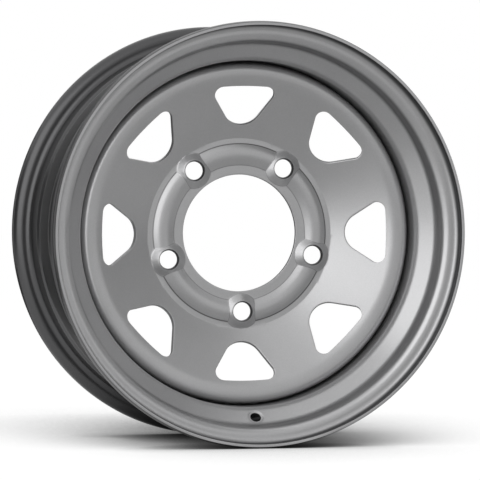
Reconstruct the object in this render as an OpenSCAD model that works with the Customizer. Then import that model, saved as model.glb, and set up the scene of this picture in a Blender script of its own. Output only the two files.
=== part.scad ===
// Steel disc wheel: a rolled drop-centre rim, a pressed disc and the fillet welds that join them.
// Lengths are in millimetres. The spin axis is Y, the outer face looks along -Y and Z is up.
// A section is drawn as [radius, station, bend radius]. The station lies on the spin axis, is 0 at
// the rim's centre plane and grows towards the outer face.

/* [Rim] */
// Width between the two flange faces
rim_width = 177.8; // [170:0.1:190]
// Diameter of the bead seats where they meet the flanges
bead_seat_d = 405.6; // [398:0.1:437]
// Thickness of the rim's sheet
rim_t = 3; // [2.5:0.1:3.5]
// Height of the flanges above the bead seats
flange_h = 17.5; // [16:0.1:20]
// Angle by which the flange edges curl on past their crown
flange_curl = 15; // [5:1:40]
// Radius between a bead seat and its flange
heel_r = 6.5; // [5:0.1:8]
// Taper of the bead seats
seat_taper = 5; // [3:0.5:7]
// Width of the outer bead seat
outer_seat_w = 17.6; // [15:0.1:22]
// Width of the inner bead seat
inner_seat_w = 22; // [18:0.1:25]
// Height of the safety hump behind the inner bead seat
hump_h = 1.4; // [0.8:0.1:2]
// Width of the safety hump
hump_w = 9.4; // [8:0.1:12]
// Depth of the well below the bead seats
well_depth = 19.1; // [16:0.1:22]
// Width of the well's floor, corner to corner
well_w = 57; // [52:0.5:62]
// Slope of the well's two sides
well_slope = 47; // [35:1:60]
// Drop of the inner ledge below the bead seat diameter
ledge_drop = 3.6; // [2.5:0.1:5]

/* [Valve hole] */
// Diameter of the valve hole
valve_d = 11.4; // [10:0.1:16]
// Diameter of the flat pressed round the valve hole
valve_flat_d = 17; // [16.5:0.5:19]
// Depth of that flat at its middle
valve_flat_sink = 0.5; // [0.4:0.1:0.8]
// Turn of the valve hole from the lowest point
valve_turn = 1.4; // [-180:0.1:180]

/* [Hub] */
// Thickness of the disc's sheet
disc_t = 4.5; // [3.5:0.1:5.5]
// Offset of the hub face from the rim's centre plane
hub_offset = 10; // [5:0.5:14]
// Diameter of the centre bore
bore_d = 123; // [112:0.5:130]
// Diameter of the bolt circle
bolt_circle_d = 165.1; // [160:0.1:170]
// Number of bolt holes
bolt_n = 5; // [4:1:6]
// Diameter of the bolt holes
bolt_d = 19; // [15:0.1:20]
// Turn of the bolt circle from the lowest point
bolt_turn = 1.7; // [-36:0.1:36]
// Width of the chamfer at the mouth of a bolt hole
bolt_chamfer = 1.3; // [0.5:0.1:2]
// Width of the flat top round that chamfer
boss_land = 0.4; // [0.3:0.1:1]
// Height of the bolt bosses above the hub ring
boss_h = 5; // [4:0.1:6]
// Slope of the boss sides
boss_slope = 34; // [30:1:40]
// Distance from the bolt circle in to the foot of the ridge
ridge_in = 11.1; // [8:0.1:12]
// Distance from the bolt circle out to the foot of the ridge
ridge_out = 12; // [10:0.1:14]
// Slope of the ridge's inner side
ridge_in_slope = 21; // [14:1:24]
// Slope of the ridge's outer side
ridge_out_slope = 26; // [20:1:32]
// Width of the flat ring outside the ridge
valley_w = 5.3; // [4:0.1:7]

/* [Disc] */
// Slope of the disc's dish
dish_slope = 23.7; // [18:0.1:26]
// Radial width of the roll between dish and flange
roll_w = 13.1; // [13.1:0.1:16]
// Radial gap between the roll's corner and the well
roll_gap = 4; // [4:0.1:7]
// Radius of the roll towards the dish
roll_in_r = 30; // [20:1:30]
// Radius of the roll towards the flange
roll_out_r = 8; // [6:0.1:8]
// Length of the flange that seats in the well
flange_seat = 15.4; // [10:0.1:17]
// Bare strip of the well's floor that the flange leaves for the welds
weld_strip = 4.2; // [4.2:0.1:7]

/* [Windows] */
// Number of windows
window_n = 8; // [5:1:8]
// Turn of the windows from the highest point
window_turn = 0.5; // [-22.5:0.1:22.5]
// Radius of a window's rounded tip
tip_r = 20.6; // [16:0.1:22]
// Radius of a window's two outer corners
corner_r = 8.7; // [7:0.1:11]
// Width of a window at its outer corners
window_w = 64; // [52:0.5:66]
// Height of a window along the dish
window_h = 44.2; // [40:0.1:46]
// Arch of a window's outer edge
window_arch = 0.7; // [0.3:0.1:1.5]
// Distance along the dish from a window to the roll
window_margin = 10.3; // [8:0.1:12]

/* [Welds] */
// Number of weld beads
weld_n = 8; // [4:1:12]
// Length of a weld bead as an angle
weld_span = 26; // [10:1:29]
// Leg of the fillet welds
weld_leg = 3.8; // [2.5:0.1:4]

/* [Hidden] */
$fn = 96;

// Largest turn between two points of a bend
bend_step = 7.5;
// Play between the disc's flange and the well, and round the welds
seat_gap = 0.1;
// Run past a face when something is cut through it
cut_run = 5;

half_w = rim_width / 2;
seat_r = bead_seat_d / 2;
flange_top_r = seat_r + flange_h;
// The heel and the rolled edge leave a short straight between them
flange_straight = 0.6;
crown_r = flange_h - heel_r - flange_straight;
// Past its curl the lip runs on straight, to an end that is trimmed square to the axis
lip_straight = 3.9;
lip_turn = 90 + flange_curl;
well_r = seat_r - well_depth;
outer_seat_end_r = seat_r - outer_seat_w * tan(seat_taper);
inner_seat_end_r = seat_r - inner_seat_w * tan(seat_taper);
well_out = half_w - outer_seat_w - (outer_seat_end_r - well_r) / tan(well_slope);
well_in = well_out - well_w;
ledge_r = seat_r - ledge_drop;
ledge_end = well_in - (ledge_r - well_r) / tan(well_slope);
hump_start = inner_seat_w - half_w;
// Folds whose inside is the sheet's other face: the inside radius comes on top of the thickness
seat_fold_in = 10;
hump_fold_in = 1;
ledge_fold_in = 5;
seat_fold_r = rim_t + seat_fold_in;
hump_fold_r = rim_t + hump_fold_in;
ledge_fold_r = rim_t + ledge_fold_in;
well_fold_r = 9;

// The disc's flange seats on the inside of the well's floor
floor_r = well_r - rim_t;
disc_r = floor_r - seat_gap;
flange_end = well_in + well_fold_r * tan(well_slope / 2) + weld_strip;
flange_top = flange_end + flange_seat;
roll_out = disc_r - roll_gap;
roll_in = roll_out - roll_w;
hub_front = hub_offset + disc_t;
bolt_circle_r = bolt_circle_d / 2;
ridge_foot_in = bolt_circle_r - ridge_in;
ridge_foot_out = bolt_circle_r + ridge_out;
ridge_rise = tan(ridge_in_slope) + tan(ridge_out_slope);
ridge_top_r = ridge_foot_in + (ridge_in + ridge_out) * tan(ridge_out_slope) / ridge_rise;
ridge_top = hub_front + (ridge_top_r - ridge_foot_in) * tan(ridge_in_slope);
ridge_crown_r = 18;
foot_fold_r = 1.5;
dish_foot = ridge_foot_out + valley_w;
crest = hub_front + (roll_in - dish_foot) * tan(dish_slope);
flange_fold_in = 7.5;
flange_fold_r = disc_t + flange_fold_in;
// The blank reaches into the bore, which is then cut through it
bore_trim = 3;
blank_in = bore_d / 2 - bore_trim;

// A boss keeps the sheet's thickness: the hollow behind it is a parallel cone
boss_top = hub_front + boss_h;
boss_top_r = bolt_d / 2 + bolt_chamfer + boss_land;
boss_wall = disc_t * tan(boss_slope / 2);
boss_run = 1 / tan(boss_slope);
chamfer_slope = 60;
chamfer_depth = bolt_chamfer * tan(chamfer_slope);

// Middle of a window's frame of reference on the face of the dish
window_out_r = roll_in - window_margin * cos(dish_slope);
window_mid_r = window_out_r - window_h / 2 * cos(dish_slope);
window_mid = hub_front + (window_mid_r - dish_foot) * tan(dish_slope);

function point(corner) = [corner[0], corner[1]];
function unit(v) = v / norm(v);
function left(v) = [-v[1], v[0]];
function turned(v, angle) = [v[0] * cos(angle) - v[1] * sin(angle), v[0] * sin(angle) + v[1] * cos(angle)];
function mirrored(path) = [for (i = [len(path) - 1:-1:0]) [path[i][0], -path[i][1], path[i][2]]];
function heading(p, q) = unit(point(q) - point(p));
function turn_between(u, v) = atan2(u[0] * v[1] - u[1] * v[0], u * v);

// Stations of the bend at corner q between its neighbours p and s: each is [point, left normal]
function bend(p, q, s) =
    let (
        u = heading(p, q),
        angle = turn_between(u, heading(q, s)),
        side = sign(angle),
        start = point(q) - u * q[2] * tan(abs(angle) / 2),
        centre = start + side * q[2] * left(u),
        steps = max(2, ceil(abs(angle) / bend_step))
    )
    [for (i = [0:steps]) let (n = turned(left(u), angle * i / steps)) [centre - side * q[2] * n, n]];

// Stations along an open path of corners
function stations(path) =
    let (last = len(path) - 1)
    concat(
        [[point(path[0]), left(heading(path[0], path[1]))]],
        [for (i = [1:last - 1]) each bend(path[i - 1], path[i], path[i + 1])],
        [[point(path[last]), left(heading(path[last - 1], path[last]))]]
    );

// Section of a sheet of thickness t that lies on the left of a path, or on its right where t is negative
function sheet(path, t) =
    let (s = stations(path), last = len(s) - 1)
    concat([for (k = s) k[0]], [for (i = [last:-1:0]) s[i][0] + t * s[i][1]]);

// Points of an arc from one angle to another
function arc(centre, r, from, to) =
    let (steps = max(2, ceil(abs(to - from) / bend_step)))
    [for (i = [0:steps]) let (angle = from + (to - from) * i / steps) centre + r * [cos(angle), sin(angle)]];

// Stands a shape that was turned about Z upright, with its outer face along -Y
module upright() {
    rotate([90, 0, 0])
        children();
}

module turned_section(outline) {
    rotate_extrude()
        polygon(outline);
}

// Rim

// Tyre side of the outer flange, from its heel to its curled lip
function flange_path() =
    let (
        reach = crown_r * tan(lip_turn / 2),
        corner = [flange_top_r - crown_r + reach, half_w],
        tip = corner + (reach + lip_straight) * [cos(lip_turn), sin(lip_turn)]
    )
    [
        [seat_r, half_w, heel_r],
        [corner[0], corner[1], crown_r],
        [tip[0], tip[1], 0]
    ];

// Tyre side of the whole rim, from the inner lip to the outer one
function rim_path() = concat(
    mirrored(flange_path()),
    [
        [inner_seat_end_r, hump_start, hump_fold_r],
        [inner_seat_end_r + hump_h, hump_start + hump_w / 2, hump_fold_r],
        [ledge_r, hump_start + hump_w, hump_fold_r],
        [ledge_r, ledge_end, ledge_fold_r],
        [well_r, well_in, well_fold_r],
        [well_r, well_out, well_fold_r],
        [outer_seat_end_r, half_w - outer_seat_w, seat_fold_r]
    ],
    flange_path()
);

// Section of the rim: its sheet inside the tyre side, with both lips cut off square to the axis
function rim_section() =
    let (
        s = stations(rim_path()),
        last = len(s) - 1,
        across = [-rim_t / cos(flange_curl), 0]
    )
    concat(
        [for (k = s) k[0]],
        [s[last][0] + across],
        [for (i = [last - 1:-1:1]) s[i][0] + rim_t * s[i][1]],
        [s[0][0] + across]
    );

// Places a tool on the well's outer side, with Z along its normal towards the axis
module at_valve() {
    side_r = (well_r + outer_seat_end_r) / 2;
    side_station = (well_out + half_w - outer_seat_w) / 2;
    rotate([0, 0, valve_turn - 90])
        translate([side_r, 0, side_station])
            rotate([0, well_slope - 90, 0])
                children();
}

module rim_barrel() {
    color([0.62, 0.63, 0.64])
        upright()
            difference() {
                turned_section(rim_section());
                at_valve()
                    translate([0, 0, -cut_run])
                        cylinder(d = valve_d, h = rim_t + 2 * cut_run);
                at_valve()
                    translate([0, 0, rim_t - valve_flat_sink])
                        cylinder(d = valve_flat_d, h = cut_run);
            }
}

// Disc

// Face of the disc from the bore out to the flange's end
function disc_path() = [
    [blank_in, hub_front, 0],
    [ridge_foot_in, hub_front, foot_fold_r],
    [ridge_top_r, ridge_top, ridge_crown_r],
    [ridge_foot_out, hub_front, foot_fold_r],
    [dish_foot, hub_front, foot_fold_r],
    [roll_in, crest, roll_in_r],
    [roll_out, crest, roll_out_r],
    [disc_r, flange_top, flange_fold_r],
    [disc_r, flange_end, 0]
];

module at_bolts() {
    for (i = [0:bolt_n - 1])
        rotate([0, 0, bolt_turn - 90 + i * 360 / bolt_n])
            translate([bolt_circle_r, 0, 0])
                children();
}

// Cone whose top has radius top_r at the station top and whose side runs down to the station foot
module boss_cone(top, top_r, foot) {
    translate([0, 0, foot])
        cylinder(r1 = top_r + (top - foot) * boss_run, r2 = top_r, h = top - foot);
}

module bosses() {
    at_bolts()
        boss_cone(boss_top, boss_top_r, hub_front - disc_t / 2);
}

module bolt_cuts() {
    at_bolts() {
        boss_cone(boss_top - disc_t, boss_top_r - boss_wall, hub_offset - cut_run);
        translate([0, 0, hub_offset - cut_run])
            cylinder(d = bolt_d, h = boss_h + disc_t + 2 * cut_run);
        translate([0, 0, boss_top - chamfer_depth])
            cylinder(d1 = bolt_d, d2 = bolt_d + 4 * bolt_chamfer, h = 2 * chamfer_depth);
    }
}

// Outline of a window on the face of the dish: X points out along the dish, Y round the wheel.
// Straight sides run tangent from the tip's arc to the corner arcs, which the arched edge joins.
function window_outline() =
    let (
        top = window_h / 2,
        tip = [tip_r - top, 0],
        corner = [top - window_arch - corner_r, window_w / 2 - corner_r],
        across = [corner[0], -corner[1]],
        run = corner - tip,
        side = atan2(run[1], run[0]) + acos((tip_r - corner_r) / norm(run)),
        arch_run = (corner[1] * corner[1] + window_arch * window_arch) / (2 * window_arch),
        arch_r = arch_run + corner_r,
        arch_end = asin(corner[1] / arch_run)
    )
    concat(
        arc(tip, tip_r, side, 360 - side),
        arc(across, corner_r, -side, -arch_end),
        arc([top - arch_r, 0], arch_r, -arch_end, arch_end),
        arc(corner, corner_r, arch_end, side)
    );

module windows() {
    for (i = [0:window_n - 1])
        rotate([0, 0, window_turn + 90 + i * 360 / window_n])
            translate([window_mid_r, 0, window_mid])
                rotate([0, -dish_slope, 0])
                    translate([0, 0, -disc_t - 2 * cut_run])
                        linear_extrude(disc_t + 4 * cut_run)
                            polygon(window_outline());
}

module wheel_disc() {
    color([0.64, 0.65, 0.66])
        upright()
            difference() {
                union() {
                    turned_section(sheet(disc_path(), -disc_t));
                    bosses();
                }
                translate([0, 0, hub_offset - cut_run])
                    cylinder(d = bore_d, h = disc_t + 2 * cut_run);
                bolt_cuts();
                windows();
            }
}

// Welds

// Section of a bead in the corner between the flange's end and the well's floor
function weld_section() =
    let (corner = [disc_r, flange_end - seat_gap])
    concat([corner], arc(corner, weld_leg, 180, 270));

module weld_beads() {
    color([0.55, 0.56, 0.57])
        upright()
            for (i = [0:weld_n - 1])
                rotate([0, 0, window_turn + (i + 0.5) * 360 / weld_n - weld_span / 2])
                    rotate_extrude(angle = weld_span)
                        polygon(weld_section());
}

rim_barrel();
wheel_disc();
weld_beads();
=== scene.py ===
"""Pressed steel disc wheel: the painted rim, the painted disc and the welds between them, in a small studio.

Lengths inside the classes are millimetres and angles are degrees, unless a name or a hint says otherwise. A
section is drawn as [radius, station]: the station lies on the spin axis, is 0 at the rim's centre plane and
grows towards the outer face. A point of the wheel is x = radius cos, y = -station, z = radius sin, in metres.
"""

import logging
import math
from dataclasses import dataclass, field
from enum import Enum
from typing import Any

import bmesh
import bpy
import numpy as np
from bpy.types import ID, Material, Mesh, Node, NodeSocket, NodeTree, Object
from mathutils import Matrix, Vector


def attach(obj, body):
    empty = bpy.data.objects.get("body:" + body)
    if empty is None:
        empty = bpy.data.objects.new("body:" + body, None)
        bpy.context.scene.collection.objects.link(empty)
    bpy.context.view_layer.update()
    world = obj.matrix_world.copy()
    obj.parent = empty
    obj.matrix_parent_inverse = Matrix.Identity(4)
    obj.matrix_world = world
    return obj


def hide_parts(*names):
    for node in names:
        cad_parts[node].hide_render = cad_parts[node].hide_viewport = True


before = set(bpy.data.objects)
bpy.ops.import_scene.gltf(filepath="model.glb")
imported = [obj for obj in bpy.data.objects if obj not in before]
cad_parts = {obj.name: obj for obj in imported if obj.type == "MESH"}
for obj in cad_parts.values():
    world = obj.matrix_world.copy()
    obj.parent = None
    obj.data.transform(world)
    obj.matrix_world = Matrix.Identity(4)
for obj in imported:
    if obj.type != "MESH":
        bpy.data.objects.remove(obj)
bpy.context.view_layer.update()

Array = np.ndarray
Triple = tuple[float, float, float]

MM = 0.001
TAU = 2.0 * math.pi
BODY = "root"
WELD_DISTANCE = 2e-6
SHARP_ANGLE = 32.0
# Point attribute for the dark grey: the rim's tyre side, and painted shade.
DARK_SIDE_AND_SHADE = "dark_side_and_painted_shade"
BOSS_RISE = "boss_rise"
# Value of the rise along the foot of a boss.
BOSS_FOOT = 2.0

log = logging.getLogger("wheel")


class Finish(Enum):
    """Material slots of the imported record."""

    SHEET = "silver_paint"
    WELD = "painted_weld"


class Face(Enum):
    """The two faces of a pressed sheet."""

    OUTER = "outer"
    INNER = "inner"


def tangent(degrees: float) -> float:
    """Gives how far a slope of so many degrees rises over a run of 1."""
    return math.tan(math.radians(degrees))


def unit(vectors: Array) -> Array:
    """Scales vectors, along the last axis, to a length of 1."""
    return vectors / np.linalg.norm(vectors, axis=-1, keepdims=True)


def compass(angle: Array) -> Array:
    """Gives the vectors [cos, sin] at angles in radians."""
    return np.stack([np.cos(angle), np.sin(angle)], axis=-1)


def polar(points: Array) -> tuple[Array, Array]:
    """Gives the radius and the angle of points, from their first two coordinates."""
    return np.hypot(points[..., 0], points[..., 1]), np.arctan2(points[..., 1], points[..., 0])


def wheel_points(radius: Array, station: Array, angle: Array) -> Array:
    """Places wheel coordinates, with angles in radians, in the world: x = r cos, y = -station, z = r sin."""
    radius, station, angle = np.broadcast_arrays(radius, station, angle)
    return np.stack([radius * np.cos(angle), -station, radius * np.sin(angle)], axis=-1) * MM


def smooth_max(first: Array, second: Array, width: float) -> Array:
    """Takes the larger of two heights, with a parabola in the crease where they differ by under the width."""
    near = np.maximum(width - np.abs(first - second), 0.0) / width
    return np.maximum(first, second) + near * near * width / 4.0


def smooth_min(first: Array, second: Array, width: float) -> Array:
    """Takes the smaller of two heights with the edge between them rounded, as smooth_max turned over."""
    return -smooth_max(-first, -second, width)


def smooth_step(value: Array, low: float, high: float) -> Array:
    """Rises from 0 at low to 1 at high along the cubic 3t^2 - 2t^3."""
    t = np.clip((value - low) / (high - low), 0.0, 1.0)
    return t * t * (3.0 - 2.0 * t)


def arc(centre: tuple[float, float], radius: float, start: float, end: float, count: int) -> Array:
    """Spaces points evenly along an arc, between two angles in radians."""
    return np.asarray(centre) + radius * compass(np.linspace(start, end, count))


def blend_rings(inner: Array, outer: Array, weights: Array) -> Array:
    """Fills the space between two outlines with a ring for each weight: inner (1 - w) + outer w."""
    return inner[None] * (1.0 - weights[:, None, None]) + outer[None] * weights[:, None, None]


def edge_steps(edge: float) -> tuple[Array, Array]:
    """Gives three steps round a hole's rounded edge, as distances out from its wall and in from its face."""
    soft = edge * (1.0 - math.sqrt(0.5))
    return np.array([edge, soft, 0.0]), np.array([0.0, soft, edge])


def rounded_end(near: Array, far: Array, way: Array, edge: float) -> Array:
    """Rounds the two edges of a sheet's end with arcs tangent to both neighbours.

    Args:
        near: Corner where the sheet's line ends.
        far: Corner where its other face ends.
        way: Direction in which both faces end.
        edge: Radius of the edges.

    Returns:
        Points from the line to the other face, in place of the two corners.
    """
    across = unit(far - near)
    points = []
    for corner, before, after in ((near, way, across), (far, across, -way)):
        turn = math.acos(before @ after)
        side = (after - before * math.cos(turn)) / math.sin(turn)
        start = corner - before * edge * math.tan(turn / 2.0)
        angle = np.linspace(0.0, turn, 5)[:, None]
        points.append(start + edge * (before * np.sin(angle) + side * (1.0 - np.cos(angle))))
    return np.concatenate(points)


def border(rows: int, columns: int) -> tuple[Array, Array]:
    """Walks round the border of a grid once.

    Args:
        rows: Number of rows of points.
        columns: Number of columns of points.

    Returns:
        Row and column of each border point, in order.
    """
    up, along = np.arange(rows), np.arange(columns)
    first, last = np.zeros(columns - 1, int), np.full(columns - 1, rows - 1)
    left, right = np.zeros(rows - 1, int), np.full(rows - 1, columns - 1)
    row = np.concatenate([first, up[:-1], last, up[:0:-1]])
    return row, np.concatenate([along[:-1], right, along[:0:-1], left])


@dataclass(frozen=True)
class Section:
    """Line of a bent sheet's face in the wheel's radial section.

    Attributes:
        corners: Rows of [radius, station, bend radius].
        flat_steps: Largest step along each straight.
        bend_step: Largest turn between two points of a bend.
    """

    corners: Array
    flat_steps: Array
    bend_step: float

    def stations(self) -> tuple[Array, Array]:
        """Works out the line as straights that are joined by arcs tangent to both neighbours.

        Returns:
            Points and left normals, one row each.
        """
        corner, bend = self.corners[:, :2], self.corners[:, 2]
        heading = unit(np.diff(corner, axis=0))
        ahead, behind = heading[1:], heading[:-1]
        cross = behind[:, 0] * ahead[:, 1] - behind[:, 1] * ahead[:, 0]
        turn = np.arctan2(cross, (behind * ahead).sum(axis=1))
        cut = np.append(bend[1:-1] * np.tan(np.abs(turn) / 2.0), 0.0)
        points, normals = [], []
        start = corner[0]
        for i, way in enumerate(heading):
            left = np.array([-way[1], way[0]])
            end = corner[i + 1] - way * cut[i]
            steps = max(1, math.ceil(np.linalg.norm(end - start) / self.flat_steps[i]))
            points.append(start + (end - start) * np.linspace(0.0, 1.0, steps + 1)[:, None])
            normals.append(np.tile(left, (steps + 1, 1)))
            if i == len(turn):
                break
            steps = max(2, math.ceil(abs(math.degrees(turn[i])) / self.bend_step))
            angle = np.linspace(0.0, turn[i], steps + 1)[1:-1, None]
            normal = left * np.cos(angle) + np.array([-left[1], left[0]]) * np.sin(angle)
            points.append(end + np.sign(turn[i]) * bend[i + 1] * (left - normal))
            normals.append(normal)
            start = corner[i + 1] + heading[i + 1] * cut[i]
        return np.concatenate(points), np.concatenate(normals)


def new_object(name: str, data: ID) -> Object:
    """Makes an object at the origin and puts it in the scene."""
    made = bpy.data.objects.new(name, data)
    bpy.context.scene.collection.objects.link(made)
    return made


@dataclass
class Shell:
    """Patches of quads that are welded along their shared edges into one closed mesh.

    Attributes:
        points: Points of each patch.
        quads: Corner numbers of each patch's quads.
        count: Number of points so far.
    """

    points: list[Array] = field(default_factory=list)
    quads: list[Array] = field(default_factory=list)
    count: int = 0

    def add(self, grid: Array, keep: Array | None = None) -> None:
        """Adds a grid of points as quads, with its last column joined to its first.

        Args:
            grid: Points in metres: (rows, columns, 3).
            keep: Mask of the quads to make, all of them where it is missing.
        """
        rows, columns = grid.shape[:2]
        here = np.arange(rows * columns).reshape(rows, columns) + self.count
        beside = np.roll(here, -1, axis=1)
        quads = np.stack([here[:-1], beside[:-1], beside[1:], here[1:]], axis=-1)
        self.points.append(grid.reshape(-1, 3))
        self.quads.append(quads.reshape(-1, 4) if keep is None else quads[keep])
        self.count += rows * columns

    def turn(self, outline: Array, angle: Array, keep: Array | None = None) -> None:
        """Adds an outline of [radius, station] that is carried round the axis to each angle."""
        self.add(wheel_points(outline[:, None, 0], outline[:, None, 1], angle), keep)

    def build(self, name: str, finish: Material) -> Object:
        """Welds the patches, turns every face outwards and makes the piece's object.

        Args:
            name: Name of the piece.
            finish: Material of the whole piece.

        Returns:
            The object, at the origin.
        """
        mesh = bpy.data.meshes.new(name)
        mesh.from_pydata(np.concatenate(self.points), [], np.concatenate(self.quads))
        work = bmesh.new()
        work.from_mesh(mesh)
        bmesh.ops.remove_doubles(work, verts=work.verts, dist=WELD_DISTANCE)
        bmesh.ops.recalc_face_normals(work, faces=work.faces)
        log.info("%s: %d open edges", name, sum(not edge.is_manifold for edge in work.edges))
        work.to_mesh(mesh)
        work.free()
        mesh.shade_smooth()
        mesh.set_sharp_from_angle(angle=math.radians(SHARP_ANGLE))
        mesh.materials.append(finish)
        return new_object(name, mesh)


def mesh_places(mesh: Mesh) -> tuple[Array, Array, Array, Array]:
    """Reads a mesh back in wheel coordinates.

    Args:
        mesh: Mesh of a finished piece.

    Returns:
        Radii, angles and stations of its points, and their normals in the world.
    """
    data = np.empty((2, len(mesh.vertices) * 3))
    mesh.vertices.foreach_get("co", data[0])
    mesh.vertices.foreach_get("normal", data[1])
    place, way = data.reshape(2, -1, 3)
    radius, angle = polar(place[:, ::2] / MM)
    return radius, angle, -place[:, 1] / MM, way


def write_attribute(mesh: Mesh, name: str, values: Array) -> None:
    """Gives each point of a mesh a number under a name that a material can read."""
    mesh.attributes.new(name, "FLOAT", "POINT").data.foreach_set("value", values.astype(np.float32))


def seat(piece: Object, node: str, slot: Finish) -> None:
    """Lets a piece stand for a CAD node: it rides on the wheel's body, and the node is hidden.

    Args:
        piece: The finished piece.
        node: The CAD node that it stands for.
        slot: The record's material slot. Not used.
    """
    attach(piece, BODY)
    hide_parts(node)


@dataclass
class Rim:
    """Drop-centre rim: one strip rolled to a ring, with curled flanges, bead seats, a hump and a well."""

    width: float = 177.8
    seat_d: float = 405.6
    sheet: float = 3.0
    flange_h: float = 17.5
    flange_curl: float = 15.0
    flange_straight: float = 0.6
    lip_straight: float = 3.9
    lip_edge: float = 0.38
    heel_r: float = 6.5
    seat_taper: float = 5.0
    outer_seat_w: float = 17.6
    inner_seat_w: float = 22.0
    hump_h: float = 1.4
    hump_w: float = 9.4
    well_depth: float = 19.1
    well_w: float = 57.0
    well_slope: float = 47.0
    ledge_drop: float = 3.6
    seat_fold: float = 13.0
    hump_fold: float = 4.0
    ledge_fold: float = 8.0
    well_fold: float = 9.0
    valve_d: float = 11.4
    valve_edge: float = 0.35
    valve_land: float = 1.0
    valve_flat_d: float = 17.0
    valve_sink: float = 0.5
    valve_step_w: float = 1.3
    valve_rings: tuple[float, ...] = (-1.3, -0.9, -0.5, -0.1, 0.2)
    valve_blends: int = 7
    valve_turn: float = 1.4
    valve_reach: float = 10.4
    columns: int = 280
    valve_columns: int = 16
    flat_step: float = 7.0
    valve_step: float = 1.4
    bend_step: float = 6.0
    flange_reach: float = 1.0
    # Where the rim's paint is drawn dark grey: the tyre side, and painted shade in the lip's hollow and under
    # the outer bead seat.
    tyre_lean: tuple[float, float] = (0.0, 0.3)
    hollow_lean: tuple[float, float] = (0.4, 0.8)
    hollow_rise: tuple[float, float] = (6.0, 9.0)
    under_lean: tuple[float, float] = (0.7, 0.97)
    under_run: tuple[float, float] = (-2.0, 3.0)
    under_share: float = 0.6

    @property
    def seat_r(self) -> float:
        """Radius of the bead seats at their heels."""
        return self.seat_d / 2.0

    @property
    def floor_r(self) -> float:
        """Radius of the inside of the well's floor, where the disc's flange seats."""
        return self.seat_r - self.well_depth - self.sheet

    @property
    def well_in(self) -> float:
        """Station of the well's inner corner."""
        rise = self.well_depth - self.outer_seat_w * tangent(self.seat_taper)
        return self.width / 2.0 - self.outer_seat_w - rise / tangent(self.well_slope) - self.well_w

    @property
    def well_foot(self) -> float:
        """Station where the well's floor starts to be flat on the inner side."""
        return self.well_in + self.well_fold * tangent(self.well_slope / 2.0)

    def flange(self) -> Array:
        """Corners of the outer flange from its heel to its curled lip."""
        half = self.width / 2.0
        crown = self.flange_h - self.heel_r - self.flange_straight
        turn = math.radians(90.0 + self.flange_curl)
        reach = crown * math.tan(turn / 2.0)
        top = self.seat_r + self.flange_h - crown + reach
        tip = reach + self.lip_straight
        lip = [top + tip * math.cos(turn), half + tip * math.sin(turn), 0.0]
        return np.array([[self.seat_r, half, self.heel_r], [top, half, crown], lip])

    def section(self) -> Section:
        """Draws the tyre side of the rim from the inner lip to the outer one."""
        half, taper = self.width / 2.0, tangent(self.seat_taper)
        well_r, ledge_r = self.seat_r - self.well_depth, self.seat_r - self.ledge_drop
        inner_end = self.seat_r - self.inner_seat_w * taper
        outer_end = self.seat_r - self.outer_seat_w * taper
        hump, outer = self.inner_seat_w - half, half - self.outer_seat_w
        middle = np.array([
            [inner_end, hump, self.hump_fold],
            [inner_end + self.hump_h, hump + self.hump_w / 2.0, self.hump_fold],
            [ledge_r, hump + self.hump_w, self.hump_fold],
            [ledge_r, self.well_in - (ledge_r - well_r) / tangent(self.well_slope), self.ledge_fold],
            [well_r, self.well_in, self.well_fold],
            [well_r, self.well_in + self.well_w, self.well_fold],
            [outer_end, outer, self.seat_fold],
        ])
        flange = self.flange()
        corners = np.concatenate([flange[::-1] * [1.0, -1.0, 1.0], middle, flange])
        steps = np.full(len(corners) - 1, self.flat_step)
        steps[len(flange) + len(middle) - 2] = self.valve_step
        return Section(corners, steps, self.bend_step)

    def valve_place(self) -> tuple[float, Array]:
        """Finds the valve hole on the well's outer side.

        Returns:
            Its angle in radians, and its [radius, station] on the tyre side.
        """
        side = self.section().corners[-5:-3, :2]
        return math.radians(self.valve_turn - 90.0), side.mean(axis=0)

    def angles(self) -> Array:
        """Spaces the columns: fine ones across the valve hole, even ones round the rest of the ring."""
        turn, place = self.valve_place()
        half = self.valve_reach / place[0]
        near = np.linspace(-half, half, self.valve_columns + 1)
        rest = np.linspace(half, TAU - half, self.columns - self.valve_columns + 1)
        return turn + np.concatenate([near, rest[1:-1]])

    def valve_patch(self, shell: Shell, line: Array, normal: Array, rows: Array, along: Array) -> None:
        """Fills the block that the ring leaves open with rings round the valve hole, on both faces.

        A ring lies at p along the slope and q round the wheel. Its point is the line's point at p, moved by a
        depth along the line's normal, at the angle q over the radius there.

        Args:
            shell: Mesh that takes the patch.
            line: Points of the tyre side.
            normal: Normals of the tyre side, towards the axis.
            rows: Rows of the line in the block.
            along: Length along the line from the hole, for each of those rows.
        """
        turn, (place_r, _) = self.valve_place()
        inner_r = place_r + self.sheet * normal[rows[len(rows) // 2], 0]
        block = self.angles()[: self.valve_columns + 1] - turn
        row, column = border(len(rows), len(block))
        circle = compass(np.arctan2(block[column] * place_r, along[row]))

        def carried(spot: Array, depth: Array, across: Array) -> Array:
            """Puts points at p, q and a depth below the tyre side on the sloping wall."""
            parts = (*line[rows].T, *normal[rows].T)
            base_r, base_a, side_r, side_a = (np.interp(spot[..., 0], along, part) for part in parts)
            angle = turn + spot[..., 1] / across
            return wheel_points(base_r + depth * side_r, base_a + depth * side_a, angle)

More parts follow.
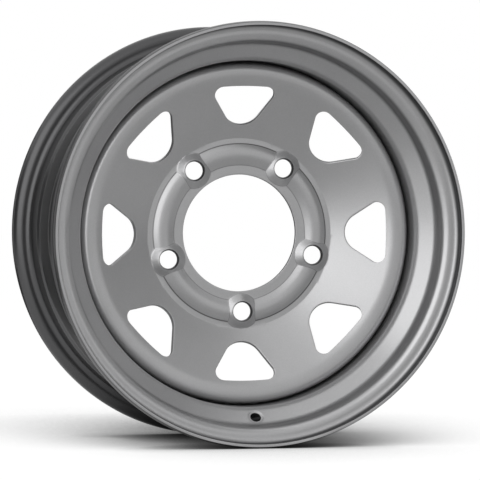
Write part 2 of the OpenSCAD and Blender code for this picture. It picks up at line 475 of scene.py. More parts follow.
        hole, flat = self.valve_d / 2.0, self.valve_flat_d / 2.0
        weights = np.linspace(0.0, 1.0, self.valve_blends)
        outer = np.stack([along[row], block[column] * place_r], axis=-1)
        rings = blend_rings((hole + self.valve_edge) * circle, outer, weights)
        shell.add(carried(rings, 0.0, place_r))
        outer = np.stack([along[row], block[column] * inner_r], axis=-1)
        *steps, last = flat + np.array(self.valve_rings)
        sizes = np.array([hole + self.valve_edge, hole + self.valve_land, *steps])
        rings = np.concatenate([
            sizes[:, None, None] * circle,
            blend_rings(last * circle, outer, weights[::2]),
        ])
        level = smooth_step(np.linalg.norm(rings, axis=-1), flat - self.valve_step_w, flat)
        level[-1] = 1.0
        shell.add(carried(rings, self.sheet - self.valve_sink * (1.0 - level), inner_r))
        out, into = edge_steps(self.valve_edge)
        sizes = hole + np.concatenate([out, out[::-1]])
        depth = np.concatenate([into, self.sheet - self.valve_sink - into[::-1]])
        across = np.linspace(place_r, inner_r, len(depth))
        shell.add(carried(sizes[:, None, None] * circle, depth[:, None], across[:, None]))

    def build(self, finish: Material) -> Object:
        """Carries the section round the axis and opens the valve hole in it."""
        line, normal = self.section().stations()
        other = line + self.sheet * normal
        other[[0, -1]] = line[[0, -1]] - [self.sheet / math.cos(math.radians(self.flange_curl)), 0.0]
        start = rounded_end(line[0], other[0], unit(line[0] - line[1]), self.lip_edge)
        end = rounded_end(line[-1], other[-1], unit(line[-1] - line[-2]), self.lip_edge)
        outline = np.concatenate([line[1:-1], end, other[-2:0:-1], start[::-1], line[1:2]])
        _, place = self.valve_place()
        slope = math.radians(self.well_slope)
        along = (line - place) @ [math.sin(slope), math.cos(slope)]
        rows = np.nonzero(np.linalg.norm(line - place, axis=1) < self.valve_reach)[0]
        keep = np.ones((len(outline) - 1, self.columns), bool)
        mirror = 2 * len(line) + len(end) - 4
        for first, last in ((rows[0] - 1, rows[-1] - 1), (mirror - rows[-1], mirror - rows[0])):
            keep[first:last, : self.valve_columns] = False
        shell = Shell()
        shell.turn(outline, self.angles(), keep)
        self.valve_patch(shell, line, normal, rows, along[rows])
        piece = shell.build("painted_rim", finish)
        self.mark_dark_side_and_shade(piece.data)
        return piece

    def mark_dark_side_and_shade(self, mesh: Mesh) -> None:
        """Writes where the paint is drawn dark grey: on the tyre side, and as painted shade in two bends.

        It is 1 on the tyre side, where the normal leaves the axis or, on a flange, looks at the rim's middle.
        It is 1 in a lip's hollow too, and a share of that under the outer bead seat, as painted shade. Both
        look at the axis.

        Args:
            mesh: Mesh that takes the values as a point attribute.
        """
        radius, angle, station, way = mesh_places(mesh)
        leaves = way[:, 0] * np.cos(angle) + way[:, 2] * np.sin(angle)
        looks_in = way[:, 1] * np.sign(station) * (np.abs(station) > self.width / 2.0 - self.flange_reach)
        # The tyre side is drawn dark grey.
        tyre = smooth_step(leaves + np.maximum(looks_in, 0.0), *self.tyre_lean)
        rise = radius - self.seat_r
        # Painted shade in the lip's hollow and under the outer bead seat.
        hollow = smooth_step(-leaves, *self.hollow_lean) * smooth_step(rise, *self.hollow_rise)
        run = station - self.width / 2.0 + self.outer_seat_w
        under = self.under_share * smooth_step(-leaves, *self.under_lean) * smooth_step(run, *self.under_run)
        write_attribute(mesh, DARK_SIDE_AND_SHADE, np.maximum.reduce([tyre, hollow, under]))


@dataclass
class Disc:
    """Pressed disc in one stamping: hub ring, bolt bosses, ridge, dish with windows, roll and flange."""

    rim: Rim
    sheet: float = 4.5
    hub_offset: float = 10.0
    bore_d: float = 123.0
    bolt_circle_d: float = 165.1
    bolts: int = 5
    bolt_d: float = 19.0
    bolt_turn: float = 1.7
    bolt_chamfer: float = 1.3
    chamfer_slope: float = 60.0
    throat_out: float = 0.15
    throat_run: float = 0.2
    boss_land: float = 0.4
    boss_h: float = 5.0
    boss_slope: float = 34.0
    boss_blend: float = 0.35
    boss_margin: float = 0.6
    ridge_in: float = 11.1
    ridge_out: float = 12.0
    ridge_in_slope: float = 21.0
    ridge_out_slope: float = 26.0
    ridge_crown: float = 18.0
    foot_fold: float = 1.5
    valley_w: float = 5.3
    dish_slope: float = 23.7
    roll_w: float = 13.1
    roll_gap: float = 4.0
    roll_in_r: float = 30.0
    roll_out_r: float = 8.0
    flange_seat: float = 15.4
    flange_fold: float = 12.0
    weld_strip: float = 4.2
    seat_gap: float = 0.1
    windows: int = 8
    window_turn: float = 0.5
    tip_r: float = 20.6
    corner_r: float = 8.7
    window_w: float = 64.0
    window_h: float = 44.2
    window_arch: float = 0.7
    window_margin: float = 10.3
    edge: float = 0.5
    hub_end_r: float = 105.0
    dish_end_r: float = 158.5
    # Painted shade in the bolt holes' mouths, and shade lines along the ridge's and bosses' feet.
    mouth_soft: float = 0.3
    rise_range: float = 4.0
    crease_shade_in: tuple[float, float] = (0.8, 0.5)
    crease_shade_out: tuple[float, float] = (1.1, 0.9)
    crease_shade_shift: float = 0.5
    flat_steps: tuple[float, ...] = (2.0, 2.0, 2.0, 1.5, 2.6, 4.0, 4.0, 5.0)
    bend_step: float = 5.0
    hub_row_gap: float = 0.4
    roll_row_gap: float = 0.3
    columns: int = 320
    boss_columns: int = 14
    boss_rings: int = 17
    window_rows: int = 23
    window_rings: tuple[float, ...] = (0.0, 0.04, 0.1, 0.2, 0.32, 0.46, 0.6, 0.74, 0.88, 1.0)
    side_points: int = 60
    corner_points: int = 90
    edge_points: int = 4
    drop_rounds: int = 40
    lines: dict[Face, Array] = field(init=False)

    def __post_init__(self) -> None:
        """Works out the section's two faces once."""
        outer, normal = self.section().stations()
        self.lines = {Face.OUTER: outer, Face.INNER: outer - self.sheet * normal}

    @property
    def face_r(self) -> float:
        """Outer radius of the flange."""
        return self.rim.floor_r - self.seat_gap

    @property
    def flange_end(self) -> float:
        """Station of the flange's end."""
        return self.rim.well_foot + self.weld_strip

    @property
    def hub_front(self) -> float:
        """Station of the hub ring's outer face."""
        return self.hub_offset + self.sheet

    @property
    def boss_top(self) -> float:
        """Station of the bosses' tops."""
        return self.hub_front + self.boss_h

    @property
    def circle_r(self) -> float:
        """Radius of the bolt circle."""
        return self.bolt_circle_d / 2.0

    @property
    def mouth_r(self) -> float:
        """Radius of a bolt hole's chamfered mouth."""
        return self.bolt_d / 2.0 + self.bolt_chamfer

    @property
    def dish_foot(self) -> float:
        """Radius at which the dish starts to rise."""
        return self.circle_r + self.ridge_out + self.valley_w

    @property
    def roll_in(self) -> float:
        """Radius of the corner between the dish and the roll."""
        return self.face_r - self.roll_gap - self.roll_w

    def section(self) -> Section:
        """Draws the outer face of the disc from the bore to the flange's end."""
        front = self.hub_front
        foot_in, foot_out = self.circle_r - self.ridge_in, self.circle_r + self.ridge_out
        rise, fall = tangent(self.ridge_in_slope), tangent(self.ridge_out_slope)
        top_r = foot_in + (foot_out - foot_in) * fall / (rise + fall)
        crest = front + (self.roll_in - self.dish_foot) * tangent(self.dish_slope)
        corners = np.array([
            [self.bore_d / 2.0, front, 0.0],
            [foot_in, front, self.foot_fold],
            [top_r, front + (top_r - foot_in) * rise, self.ridge_crown],
            [foot_out, front, self.foot_fold],
            [self.dish_foot, front, self.foot_fold],
            [self.roll_in, crest, self.roll_in_r],
            [self.face_r - self.roll_gap, crest, self.roll_out_r],
            [self.face_r, self.flange_end + self.flange_seat, self.flange_fold],
            [self.face_r, self.flange_end, 0.0],
        ])
        return Section(corners, np.array(self.flat_steps), self.bend_step)

    def station(self, face: Face, radius: Array) -> Array:
        """Station of a face's turned section at radii inside the roll, without the bosses."""
        return np.interp(radius, *self.lines[face].T)

    def height(self, face: Face, radius: Array, angle: Array) -> Array:
        """Station of a face at a place: the turned section, raised to a cone at each bolt.

        Args:
            face: Which face of the sheet.
            radius: Distances from the axis, inside the roll.
            angle: Angles in radians.

        Returns:
            Stations.
        """
        off = self.bolt_distance(radius, angle)
        top, top_r = self.boss_top, self.mouth_r + self.boss_land
        if face is Face.INNER:
            top, top_r = top - self.sheet, top_r - self.sheet * tangent(self.boss_slope / 2.0)
        side = top - (off - top_r) * tangent(self.boss_slope)
        cone = smooth_min(np.full_like(off, top), side, self.boss_land)
        return smooth_max(self.station(face, radius), cone, self.boss_blend)

    def bolt_distance(self, radius: Array, angle: Array) -> Array:
        """Distance of places from the axis of the nearest bolt hole."""
        pitch = TAU / self.bolts
        turn = (angle - self.bolt_angle(0) + pitch / 2.0) % pitch - pitch / 2.0
        return np.hypot(radius * np.cos(turn) - self.circle_r, radius * np.sin(turn))

    def crease_shade(self) -> tuple[Triple, ...]:
        """Radius, half width and depth of the painted shade lines along the ridge's two feet."""
        out_r = self.circle_r + self.ridge_out - self.crease_shade_shift
        return (self.circle_r - self.ridge_in, *self.crease_shade_in), (out_r, *self.crease_shade_out)

    def mark_bosses(self, mesh: Mesh) -> None:
        """Writes painted shade in the bolt holes' mouths, and where each boss grows out of the ridge.

        The rise is the height of the boss's cone over the ridge there, as a share of a range that it is held
        to either way, and is counted from its value along the boss's foot.

        Args:
            mesh: Mesh that takes the values as point attributes.
        """
        radius, angle, _, way = mesh_places(mesh)
        off = self.bolt_distance(radius, angle)
        # Painted shade in each bolt hole's mouth.
        write_attribute(mesh, DARK_SIDE_AND_SHADE, 1.0 - smooth_step(off, self.mouth_r, self.mouth_r + self.mouth_soft))
        cone = self.boss_top - (off - self.mouth_r - self.boss_land) * tangent(self.boss_slope)
        rise = np.clip((cone - self.station(Face.OUTER, radius)) / self.rise_range, -1.0, 1.0)
        front = (radius < self.hub_end_r) & (way[:, 1] < 0.0)
        write_attribute(mesh, BOSS_RISE, np.where(front, BOSS_FOOT + rise, 0.0))

    def bolt_angle(self, number: int) -> float:
        """Angle of a bolt hole in radians."""
        return math.radians(self.bolt_turn - 90.0) + number * TAU / self.bolts

    def window_angle(self, number: int) -> float:
        """Angle of a window's middle in radians."""
        return math.radians(self.window_turn + 90.0) + number * TAU / self.windows

    def angles(self) -> Array:
        """Angles of the columns, which start half way between two windows."""
        return self.window_angle(0) - TAU / self.windows / 2.0 + np.arange(self.columns) * TAU / self.columns

    def hub_rows(self) -> Array:
        """Radii of the rows across the hub: the section's own stations."""
        radius = self.lines[Face.OUTER][:, 0]
        start = self.bore_d / 2.0 + self.edge
        inside = radius[(radius > start + self.hub_row_gap) & (radius < self.hub_end_r - self.hub_row_gap)]
        return np.unique(np.concatenate([[start], inside, [self.hub_end_r]]).round(6))

    def add_hub(self, shell: Shell, face: Face) -> None:
        """Adds the hub as a polar grid, with a block of rings round each bolt hole.

        Args:
            shell: Mesh that takes the patches.
            face: Which face of the sheet.
        """
        radius, angle = self.hub_rows(), self.angles()
        pitch = TAU / self.columns
        middles = [round((self.bolt_angle(i) - angle[0]) / pitch) for i in range(self.bolts)]
        blocks = np.array(middles)[:, None] + np.arange(-self.boss_columns, self.boss_columns + 1)
        keep = np.ones((len(radius) - 1, self.columns), bool)
        keep[:, blocks[:, :-1] % self.columns] = False
        grid_r, grid_t = np.meshgrid(radius, angle, indexing="ij")
        shell.add(wheel_points(grid_r, self.height(face, grid_r, grid_t), grid_t), keep)
        for number, block in enumerate(blocks):
            self.add_boss(shell, face, number, radius, angle[0] + block * pitch)

    def add_boss(self, shell: Shell, face: Face, number: int, radius: Array, turns: Array) -> None:
        """Adds the rings from a bolt hole's mouth out to the border of its block, and the hole's wall.

        Args:
            shell: Mesh that takes the rings.
            face: Which face of the sheet. The wall comes with the outer one.
            number: Number of the bolt hole.
            radius: Radii of the block's rows.
            turns: Angles of the block's columns.
        """
        row, column = border(len(radius), len(turns))
        outer = radius[row, None] * compass(turns[column])
        centre = self.circle_r * compass(self.bolt_angle(number))
        way = unit(outer - centre)
        hole = self.bolt_d / 2.0
        mouth = self.mouth_r if face is Face.OUTER else hole + self.edge
        start = self.mouth_r + self.boss_land + self.boss_margin
        sizes = np.array([mouth, (mouth + start) / 2.0])
        rings = np.concatenate([
            centre + sizes[:, None, None] * way,
            blend_rings(centre + start * way, outer, np.linspace(0.0, 1.0, self.boss_rings)),
        ])
        place_r, place_t = polar(rings)
        level = self.height(face, place_r, place_t)
        shell.add(wheel_points(place_r, level, place_t))
        if face is Face.INNER:
            return
        back = self.height(Face.INNER, *polar(centre + (hole + self.edge) * way))
        throat = self.boss_top - self.bolt_chamfer * tangent(self.chamfer_slope)
        out, into = edge_steps(self.edge)
        sizes = hole + np.array([self.bolt_chamfer, self.throat_out, 0.0, *out[::-1]])
        place_r, place_t = polar(centre + sizes[:, None, None] * way)
        walls = (throat + self.throat_run, throat - self.throat_run, *(back + step for step in into[::-1]))
        levels = np.stack(np.broadcast_arrays(level[0], *walls))
        shell.add(wheel_points(place_r, levels, place_t))

    def window_outline(self, bearing: Array) -> Array:
        """Finds the window's edge in given directions from its middle.

        The outline is an arc at the tip, two corner arcs, straight sides that touch them, and an arched edge.

        Args:
            bearing: Directions in radians, from the axis that points out along the dish.

        Returns:
            Points [along the dish, round the wheel], one row each.
        """
        top = self.window_h / 2.0
        tip = (self.tip_r - top, 0.0)
        corner = (top - self.window_arch - self.corner_r, self.window_w / 2.0 - self.corner_r)
        run = (corner[0] - tip[0], corner[1])
        side = math.atan2(run[1], run[0]) + math.acos((self.tip_r - self.corner_r) / math.hypot(*run))
        arch_run = (corner[1] ** 2 + self.window_arch**2) / (2.0 * self.window_arch)
        arch_r, arch_end = arch_run + self.corner_r, math.asin(corner[1] / arch_run)
        arch = arc((top - arch_r, 0.0), arch_r, 0.0, arch_end, self.side_points)
        bend = arc(corner, self.corner_r, arch_end, side, self.corner_points)
        nose = arc(tip, self.tip_r, side, math.pi, self.corner_points)
        share = np.linspace(0.0, 1.0, self.side_points)[1:-1, None]
        straight = bend[-1] * (1.0 - share) + nose[0] * share
        distance, direction = polar(np.concatenate([arch, bend[1:], straight, nose]))
        reach = np.interp(np.abs((bearing + math.pi) % TAU - math.pi), direction, distance)
        return reach[:, None] * compass(bearing)

    def window_frame(self) -> tuple[Array, Array]:
        """Gives the frame of a window at angle 0, with its middle on the dish's outer face.

        Returns:
            The middle [radial, round, station], and rows along the dish, round the wheel and out of the dish.
        """
        along, out = compass(math.radians(self.dish_slope))
        mid_r = self.roll_in - (self.window_margin + self.window_h / 2.0) * along
        middle = np.array([mid_r, 0.0, self.hub_front + (mid_r - self.dish_foot) * out / along])
        return middle, np.array([[along, 0.0, out], [0.0, 1.0, 0.0], [-out, 0.0, along]])

    def onto_face(self, face: Face, spot: Array) -> Array:
        """Drops points of a window's plane onto a face, along the plane's normal, by repeated corrections.

        Args:
            face: Which face of the sheet.
            spot: Points [along the dish, round the wheel].

        Returns:
            Heights above the plane.
        """
        middle, axes = self.window_frame()
        plane = middle + spot @ axes[:2]
        lift = np.zeros(spot.shape[:-1])
        for _ in range(self.drop_rounds):
            point = plane + lift[..., None] * axes[2]
            lift = lift - (point[..., 2] - self.station(face, polar(point)[0])) * axes[2, 2]
        return lift

    def add_window(self, shell: Shell, number: int) -> None:
        """Adds one window's sector of the dish: rings on both faces and the punched wall between them.

        Args:
            shell: Mesh that takes the patches.
            number: Number of the window.
        """
        middle, axes = self.window_frame()
        radius = np.linspace(self.hub_end_r, self.dish_end_r, self.window_rows)
        share = self.columns // self.windows
        turns = (np.arange(share + 1) / share - 0.5) * TAU / self.windows
        row, column = border(len(radius), len(turns))

        def placed(spot: Array, lift: Array) -> Array:
            """Puts points of the window's plane, and heights above it, in the world."""
            point = middle + spot @ axes[:2] + lift[..., None] * axes[2]
            point_r, point_t = polar(point)
            return wheel_points(point_r, point[..., 2], point_t + self.window_angle(number))

        def frame_of(face: Face) -> Array:
            """Finds the sector's border on a face in the window's plane."""
            spot = radius[row, None] * compass(turns[column])
            place = np.column_stack([spot, self.station(face, radius[row])])
            return (place - middle) @ axes[:2].T

        hole = self.window_outline(polar(frame_of(Face.OUTER))[1])
        run = np.roll(hole, -1, axis=0) - np.roll(hole, 1, axis=0)
        away = unit(run[:, ::-1] * [1.0, -1.0])
        away *= np.sign((away * hole).sum(axis=1, keepdims=True))
        out, into = edge_steps(self.edge)
        levels = {}
        for face, sense in ((Face.OUTER, -1.0), (Face.INNER, 1.0)):
            rings = blend_rings(hole + self.edge * away, frame_of(face), np.array(self.window_rings))
            lift = self.onto_face(face, rings)
            shell.add(placed(rings, lift))
            levels[face] = [lift[0], *(self.onto_face(face, hole) + sense * step for step in into[1:])]
        sizes = np.concatenate([out, out[::-1]])
        lift = np.stack([*levels[Face.OUTER], *levels[Face.INNER][::-1]])
        shell.add(placed(hole + sizes[:, None, None] * away, lift))

    def add_roll(self, shell: Shell) -> None:
        """Adds the roll and the flange: both faces carried round the axis, and the flange's rounded end."""
        line, other = self.lines[Face.OUTER], self.lines[Face.INNER]
        end = rounded_end(line[-1], other[-1], unit(line[-1] - line[-2]), self.edge)
        parts = []
        for face, part in self.lines.items():
            inside = np.nonzero(part[:, 0] <= self.dish_end_r + self.roll_row_gap)[0]
            start = [self.dish_end_r, self.station(face, self.dish_end_r)]
            parts.append(np.concatenate([[start], part[inside[-1] + 1 :]]))
        shell.turn(np.concatenate([parts[0][:-1], end, parts[1][-2::-1]]), self.angles())

    def add_bore(self, shell: Shell) -> None:
        """Adds the bore's wall with its two rounded edges."""
        radius = self.bore_d / 2.0 + self.edge
        front, back = self.hub_front - self.edge, self.hub_offset + self.edge
        outline = np.concatenate([
            arc((radius, front), self.edge, math.pi / 2.0, math.pi, self.edge_points),
            arc((radius, back), self.edge, math.pi, 1.5 * math.pi, self.edge_points),
        ])
        shell.turn(outline, self.angles())

    def build(self, finish: Material) -> Object:
        """Puts the hub, the windows, the roll and the bore together."""
        shell = Shell()
        for face in Face:
            self.add_hub(shell, face)
        for number in range(self.windows):
            self.add_window(shell, number)
        self.add_roll(shell)
        self.add_bore(shell)
        piece = shell.build("pressed_disc", finish)
        self.mark_bosses(piece.data)
        return piece


@dataclass
class Welds:
    """Fillet weld runs in the corner between the disc's flange and the well's floor."""

    disc: Disc
    count: int = 8
    span: float = 26.0
    leg: float = 3.8
    ripple: float = 2.6
    ripple_depth: float = 0.09
    ripple_bow: float = 0.45
    taper_legs: float = 1.6
    steps: int = 6
    section_points: int = 9

    def build(self, finish: Material) -> Object:
        """Carries a quarter-round section along the corner, with a crescent ripple for each weld pool.

        The section's radius is the leg, less a share that falls off behind each ripple's front. The fronts
        bow, and both ends of a run taper to nothing along a quarter ellipse. The first point is the corner.
        """
        corner_r, corner_a = self.disc.face_r, self.disc.flange_end - self.disc.seat_gap
        half_span = math.radians(self.span) / 2.0
        half_length = half_span * corner_r
        pools = max(1, round(2.0 * half_length / self.ripple))
        way = np.linspace(-1.0, 1.0, pools * self.steps + 1)[:, None]
        turn = np.linspace(math.pi, 1.5 * math.pi, self.section_points)
        bow = self.ripple_bow * np.cos(2.0 * (turn - 1.25 * math.pi))
        phase = ((way + 1.0) / 2.0 * pools + bow) % 1.0
        from_end = np.minimum((1.0 - np.abs(way)) * half_length / (self.taper_legs * self.leg), 1.0)
        taper = np.sqrt(1.0 - (1.0 - from_end) ** 2)
        size = self.leg * taper * (1.0 - self.ripple_depth * phase**2)
        size, turn = np.pad(size, ((0, 0), (1, 0))), np.pad(turn, (1, 0))
        radius, station = corner_r + size * np.cos(turn), corner_a + size * np.sin(turn)
        shell = Shell()
        for i in range(self.count):
            middle = math.radians(self.disc.window_turn) + (i + 0.5) * TAU / self.count
            shell.add(wheel_points(radius, station, middle + way * half_span))
        return shell.build("weld_runs", finish)


def linear(colour: str) -> tuple[float, float, float, float]:
    """Turns an sRGB hex colour into linear RGBA."""
    parts = [int(colour[i : i + 2], 16) / 255.0 for i in (1, 3, 5)]
    return (*(p / 12.92 if p <= 0.04045 else ((p + 0.055) / 1.055) ** 2.4 for p in parts), 1.0)


def add_node(tree: NodeTree, kind: str, inputs: dict[Any, Any], **settings: Any) -> Node:
    """Adds a node, gives it its settings, and sets or links its inputs.

    Args:
        tree: Node tree that takes the node.
        kind: Blender's type name of the node, without ShaderNode.
        inputs: Input name or number to a value, an output socket, or a node whose first output feeds it.
        settings: Properties of the node.

    Returns:
        The node.
    """
    node = tree.nodes.new("ShaderNode" + kind)
    for name, value in settings.items():
        setattr(node, name, value)
    for name, value in inputs.items():
        source = value.outputs[0] if isinstance(value, Node) else value
        if isinstance(source, NodeSocket):
            tree.links.new(source, node.inputs[name])
        else:
            node.inputs[name].default_value = source
    return node


def bare_material(name: str) -> tuple[Material, NodeTree]:
    """Starts a material with an empty node tree, and gives both."""
    made = bpy.data.materials.new(name)
    made.use_nodes = True
    made.node_tree.nodes.clear()
    return made, made.node_tree


@dataclass(frozen=True)
class SilverEnamel:
    """Metallic silver enamel, sprayed on pressed steel and stoved.

    Aluminium flake in the enamel gives a broad grey sheen that turns bright or dark with the slope. The
    sprayed film has a faint orange peel, and the flake lies a little unevenly, which clouds the grey. A dark
    grey colours the tyre side, and stands for painted shade in bends, along folds and in hole mouths.
    """

    name: str
    dark: str = "#a8a8a9"
    light: str = "#b0b0b1"
    # Dark grey of the tyre side, and of painted shade.
    dark_side_and_shade_grey: str = "#4e4e4f"
    metallic: float = 0.76
    rough_low: float = 0.28
    rough_high: float = 0.33
    cloud_mm: float = 45.0
    cloud_detail: float = 3.0
    cloud_roughness: float = 0.55
    peel_mm: float = 2.2
    peel_detail: float = 2.0
    peel_depth_mm: float = 0.005
    peel_strength: float = 0.5
    flake_mm: float = 0.7
    flake_tint: float = 0.05
    coat: float = 0.12
    coat_roughness: float = 0.3
    # Painted shade lines along the ridge's feet and the bosses' feet.
    crease_shade: tuple[Triple, ...] = ()
    boss_fade: float = 0.05
    boss_foot_shade: tuple[float, float] = (0.06, 0.6)

    def dark_side_and_shade_share(self, tree: NodeTree, place: NodeSocket) -> NodeSocket:
        """Joins the dark grey and painted shade of the meshes with painted shade lines along the folds.

        A line is darkest at its middle and fades over its half width. The lines round the hub stop at the
        bosses, and a line of the same kind runs along each boss's foot.

        Args:
            tree: Node tree of the material.
            place: Object coordinates.

        Returns:
            Share of the dark grey, 0 to 1.
        """
        flat = add_node(tree, "VectorMath", {0: place, 1: (1.0, 0.0, 1.0)}, operation="MULTIPLY")
        radius = add_node(tree, "VectorMath", {0: flat}, operation="LENGTH").outputs["Value"]
        rise = add_node(tree, "Attribute", {}, attribute_name=BOSS_RISE).outputs["Fac"]
        total = add_node(tree, "Attribute", {}, attribute_name=DARK_SIDE_AND_SHADE).outputs["Fac"]
        ridge = add_node(tree, "MapRange", {
            "Value": rise, "From Min": BOSS_FOOT - self.boss_fade, "From Max": BOSS_FOOT,
            "To Min": 1.0, "To Max": 0.0,
        })
        # Painted shade lines along the ridge's feet and each boss's foot.
        lines = [(radius, middle * MM, width * MM, depth) for middle, width, depth in self.crease_shade]
        for value, middle, width, depth in (*lines, (rise, BOSS_FOOT, *self.boss_foot_shade)):
            gap = add_node(tree, "Math", {0: value, 1: middle}, operation="SUBTRACT")
            size = add_node(tree, "Math", {0: gap}, operation="ABSOLUTE")
            dark = add_node(tree, "MapRange", {
                "Value": size, "From Max": width, "To Min": depth, "To Max": 0.0,
            }, interpolation_type="SMOOTHSTEP")
            if value is radius:
                dark = add_node(tree, "Math", {0: dark, 1: ridge}, operation="MULTIPLY")
            total = add_node(tree, "Math", {0: total, 1: dark}, operation="MAXIMUM").outputs[0]
        return total

    def material(self) -> Material:
        """Builds the material from Object coordinates, with every pattern's size in millimetres."""
        made, tree = bare_material(self.name)
        place = add_node(tree, "TexCoord", {}).outputs["Object"]
        cloud = add_node(tree, "TexNoise", {
            "Vector": place, "Scale": 1.0 / (self.cloud_mm * MM),
            "Detail": self.cloud_detail, "Roughness": self.cloud_roughness,
        })
        grey = add_node(tree, "Mix", {
            0: cloud, 6: linear(self.dark), 7: linear(self.light),
        }, data_type="RGBA").outputs[2]
        # The dark grey colours the tyre side and paints shade in bends, folds and hole mouths.
        grey_with_dark_and_shade = add_node(tree, "Mix", {
            0: self.dark_side_and_shade_share(tree, place), 6: grey, 7: linear(self.dark_side_and_shade_grey),
        }, data_type="RGBA").outputs[2]
        # Flake is far finer than a pixel, so it is drawn about ten times as coarse as it is.
        flake = add_node(tree, "TexVoronoi", {"Vector": place, "Scale": 1.0 / (self.flake_mm * MM)})
        glint = add_node(tree, "MapRange", {
            "Value": flake.outputs["Color"], "To Min": 1.0 - self.flake_tint, "To Max": 1.0 + self.flake_tint,
        })
        colour = add_node(tree, "Mix", {
            0: 1.0, 6: grey_with_dark_and_shade, 7: glint,
        }, data_type="RGBA", blend_type="MULTIPLY").outputs[2]
        rough = add_node(tree, "MapRange", {
            "Value": cloud, "To Min": self.rough_low, "To Max": self.rough_high,
        })
        peel = add_node(tree, "TexNoise", {
            "Vector": place, "Scale": 1.0 / (self.peel_mm * MM), "Detail": self.peel_detail,
        })
        bump = add_node(tree, "Bump", {
            "Height": peel, "Distance": self.peel_depth_mm * MM, "Strength": self.peel_strength,
        })
        shader = add_node(tree, "BsdfPrincipled", {
            "Base Color": colour, "Roughness": rough, "Normal": bump, "Metallic": self.metallic,
            "Coat Weight": self.coat, "Coat Roughness": self.coat_roughness,
        })
        add_node(tree, "OutputMaterial", {"Surface": shader})
        return made


@dataclass(frozen=True)
class Softbox:
    """Square area lamp that looks at the wheel. Azimuth 0 faces the outer side, and grows to the right."""

    name: str
    azimuth: float
    elevation: float
    distance: float
    size: float
    power: float
    mirrored: bool = True

    def build(self) -> None:
        """Hangs the lamp, in metres and watts. One that is not mirrored leaves no square in the paint."""
        turn, rise = math.radians(self.azimuth), math.radians(self.elevation)
        way = Vector((math.sin(turn) * math.cos(rise), -math.cos(turn) * math.cos(rise), math.sin(rise)))
        lamp = bpy.data.lights.new(self.name, "AREA")
        lamp.shape = "SQUARE"
        lamp.size = self.size
        lamp.energy = self.power
        holder = new_object(self.name, lamp)
        holder.location = way * self.distance
        holder.rotation_euler = way.to_track_quat("Z", "Y").to_euler()
        holder.visible_glossy = self.mirrored


def stage_sheet(
    name: str, finish: Material, centre: Triple, half_along: Triple, half_up: Triple,
) -> Object:
    """Makes a flat sheet of the studio: centre + u along + v up.

    Args:
        name: Name of the sheet.
        finish: Its material.
        centre: Its middle, in metres.
        half_along: From the middle to one edge.
        half_up: From the middle to the next edge.

    Returns:
        The sheet's object.
    """
    u, v = np.meshgrid([-1.0, 1.0], [-1.0, 1.0])
    grid = np.array(centre) + u[..., None] * np.array(half_along) + v[..., None] * np.array(half_up)
    mesh = bpy.data.meshes.new(name)
    mesh.from_pydata(grid.reshape(-1, 3), [], [(0, 1, 3, 2)])
    mesh.materials.append(finish)
    sheet = new_object(name, mesh)
    return sheet


@dataclass(frozen=True)
class Card:
    """Grey or dark card outside the picture, which shows only in the paint's reflections."""

    name: str
    centre: Triple
    half_along: Triple
    half_up: Triple
    grey: str

    def build(self) -> None:
        """Stands the card up, with a grey that no lamp changes."""
        made, tree = bare_material(self.name)
        level = add_node(tree, "Emission", {"Color": linear(self.grey)})
        add_node(tree, "OutputMaterial", {"Surface": level})
        card = stage_sheet(self.name, made, self.centre, self.half_along, self.half_up)
        card.visible_camera = card.visible_diffuse = card.visible_shadow = False


def seen_rays(tree: NodeTree) -> NodeSocket:
    """Gives 1 to camera, glossy and transmission rays and 0 to the rest."""
    path = add_node(tree, "LightPath", {})
    total = path.outputs["Is Camera Ray"]
    for ray in ("Is Glossy Ray", "Is Transmission Ray"):
        total = add_node(tree, "Math", {0: total, 1: path.outputs[ray]}, operation="MAXIMUM").outputs[0]
    return total


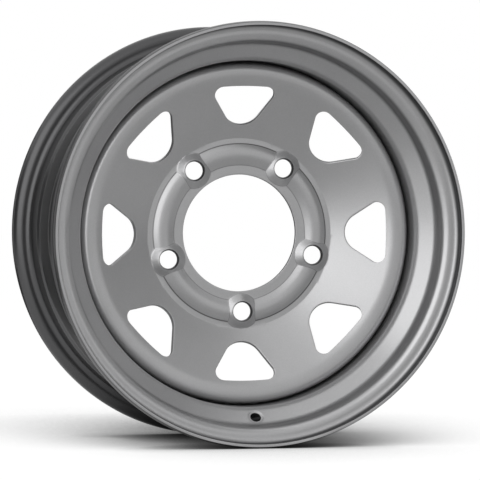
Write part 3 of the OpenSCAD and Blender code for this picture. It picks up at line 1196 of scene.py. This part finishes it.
@dataclass(frozen=True)
class Studio:
    """Pale floor, white surround, soft lamps and cards."""

    floor_z: float
    softboxes: tuple[Softbox, ...]
    cards: tuple[Card, ...]
    floor_half: float = 9.0
    floor_grey: str = "#dcdcdc"
    fill: float = 0.3
    lift: float = 0.95
    glow: float = 1.04
    touch_reach: float = 0.05
    shade_reach: float = 0.46
    shade_depth: float = 3.0
    shade_rays: int = 16
    lean_side: float = 8.0
    lean_middle: float = 0.085
    lean_front: float = 1.2

    def build_world(self) -> None:
        """Lights the wheel softly from all round, and shows white where it is seen."""
        world = bpy.data.worlds.new("white_surround")
        world.use_nodes = True
        bpy.context.scene.world = world
        tree = world.node_tree
        tree.nodes.clear()
        light, white = (
            add_node(tree, "Background", {"Color": linear("#ffffff"), "Strength": strength})
            for strength in (self.fill, 1.0)
        )
        mix = add_node(tree, "MixShader", {0: seen_rays(tree), 1: light, 2: white})
        add_node(tree, "OutputWorld", {"Surface": mix})
        # Light is gathered only along the rays that leave the paint, so the cards hide the surround from it.
        world.cycles.sampling_method = "NONE"

    def build_floor(self) -> None:
        """Lays the floor: a pale sheet that lifts to white where it is seen, save where the wheel shades it.

        The shade is the open share of the sky round a line, to a power, times the open share close by. The
        line leans to the front, and outward with distance from the middle, as in a tent lit from its sides.
        """
        pale, tree = bare_material("pale_floor")
        # Painted contact shade: the floor's grey is darkened by the open share close by.
        touch = add_node(tree, "AmbientOcclusion", {
            "Color": linear(self.floor_grey), "Distance": self.touch_reach,
        }, samples=self.shade_rays)
        sheet = add_node(tree, "BsdfDiffuse", {"Color": touch})
        lean = add_node(tree, "VectorMath", {
            0: add_node(tree, "TexCoord", {}).outputs["Object"],
            1: (self.lean_side, 0.0, 0.0),
            2: (-self.lean_side * self.lean_middle, -self.lean_front, 1.0),
        }, operation="MULTIPLY_ADD")
        line = add_node(tree, "VectorMath", {0: lean}, operation="NORMALIZE")
        shade = add_node(tree, "AmbientOcclusion", {
            "Distance": self.shade_reach, "Normal": line,
        }, samples=self.shade_rays).outputs["AO"]
        level = add_node(tree, "Math", {0: shade, 1: self.shade_depth}, operation="POWER")
        for factor in (touch.outputs["AO"], self.glow):
            level = add_node(tree, "Math", {0: level, 1: factor}, operation="MULTIPLY")
        # Painted shadow: the seen glow is dimmed by the open shares, not by the lamps.
        glow = add_node(tree, "Emission", {"Strength": level})
        share = add_node(tree, "Math", {0: seen_rays(tree), 1: self.lift}, operation="MULTIPLY")
        total = add_node(tree, "MixShader", {0: share, 1: sheet, 2: glow})
        add_node(tree, "OutputMaterial", {"Surface": total})
        half = self.floor_half
        stage_sheet("floor", pale, (0.0, 0.0, self.floor_z), (half, 0.0, 0.0), (0.0, half, 0.0))

    def build(self) -> None:
        """Builds the whole studio."""
        self.build_world()
        self.build_floor()
        for item in (*self.softboxes, *self.cards):
            item.build()
        bpy.context.scene.view_settings.view_transform = "Standard"


@dataclass(frozen=True)
class Viewpoint:
    """Camera of the picture: a long lens a little to the left of the spin axis and just above it."""

    place: Triple = (-1.02957, -3.72280, 0.08217)
    right: Triple = (0.963537, -0.267496, 0.006462)
    up: Triple = (0.0, 0.02415047, 0.999708)
    lens: float = 274.21
    sensor: float = 36.0
    far: float = 50.0

    def build(self) -> None:
        """Sets the camera up and makes it the scene's own."""
        lens = bpy.data.cameras.new("viewpoint")
        lens.lens = self.lens
        lens.sensor_width = self.sensor
        lens.clip_end = self.far
        camera = new_object("viewpoint", lens)
        right, up = Vector(self.right), Vector(self.up)
        turn = Matrix((right, up, right.cross(up))).transposed()
        camera.matrix_world = Matrix.Translation(self.place) @ turn.to_4x4()
        bpy.context.scene.camera = camera


def main() -> None:
    """Builds the camera, the wheel's pieces and the studio."""
    logging.basicConfig(level=logging.INFO, format="%(name)s: %(message)s")
    Viewpoint().build()
    rim = Rim()
    disc = Disc(rim)
    paint = SilverEnamel("stoved_silver_enamel", crease_shade=disc.crease_shade()).material()
    bead_paint = SilverEnamel(
        "silver_enamel_on_weld", dark="#a0a0a1", light="#aaaaab", peel_depth_mm=0.02,
    ).material()
    for piece, node, slot in (
        (rim.build(paint), "rim_barrel", Finish.SHEET),
        (disc.build(paint), "wheel_disc", Finish.SHEET),
        (Welds(disc).build(bead_paint), "weld_beads", Finish.WELD),
    ):
        seat(piece, node, slot)
        log.info("%s stands for %s: %d faces", piece.name, node, len(piece.data.polygons))
    Studio(
        floor_z=-(rim.seat_r + rim.flange_h) * MM,
        softboxes=(
            Softbox("key", azimuth=-46.0, elevation=16.0, distance=2.4, size=2.4, power=22.0),
            Softbox("top", azimuth=-5.0, elevation=50.0, distance=2.8, size=2.4, power=46.0, mirrored=False),
            Softbox("side", azimuth=62.0, elevation=14.0, distance=2.4, size=1.6, power=36.0, mirrored=False),
        ),
        cards=(
            Card("card_front", (0.57, -2.1, 0.9), (1.06, 0.285, 0.0), (0.0, 0.0, 1.1), "#e0e0e0"),
            Card("card_right", (1.6, -0.8, 1.0), (0.0, 0.9, 0.0), (0.0, 0.0, 1.2), "#6c6c6c"),
            Card("card_upper_right", (0.98, -1.02, 1.41), (0.4, 0.38, 0.0), (-0.27, 0.28, 0.39), "#909090"),
            Card("card_low", (0.6, -1.15, -0.212), (0.9, 0.0, 0.0), (0.0, 1.02, 0.0), "#aeaeae"),
            Card("flag_behind", (-0.35, 1.0, 0.17), (0.6, 0.0, 0.0), (0.0, 0.0, 0.39), "#303030"),
            Card("flag_behind_low", (-0.35, 0.65, -0.212), (0.6, 0.0, 0.0), (0.0, 0.35, 0.0), "#303030"),
            Card("flag_left", (-1.4, 0.3, 0.2), (0.0, 0.6, 0.0), (0.0, 0.0, 0.41), "#303030"),
        ),
    ).build()


if __name__ == "__main__":
    main()
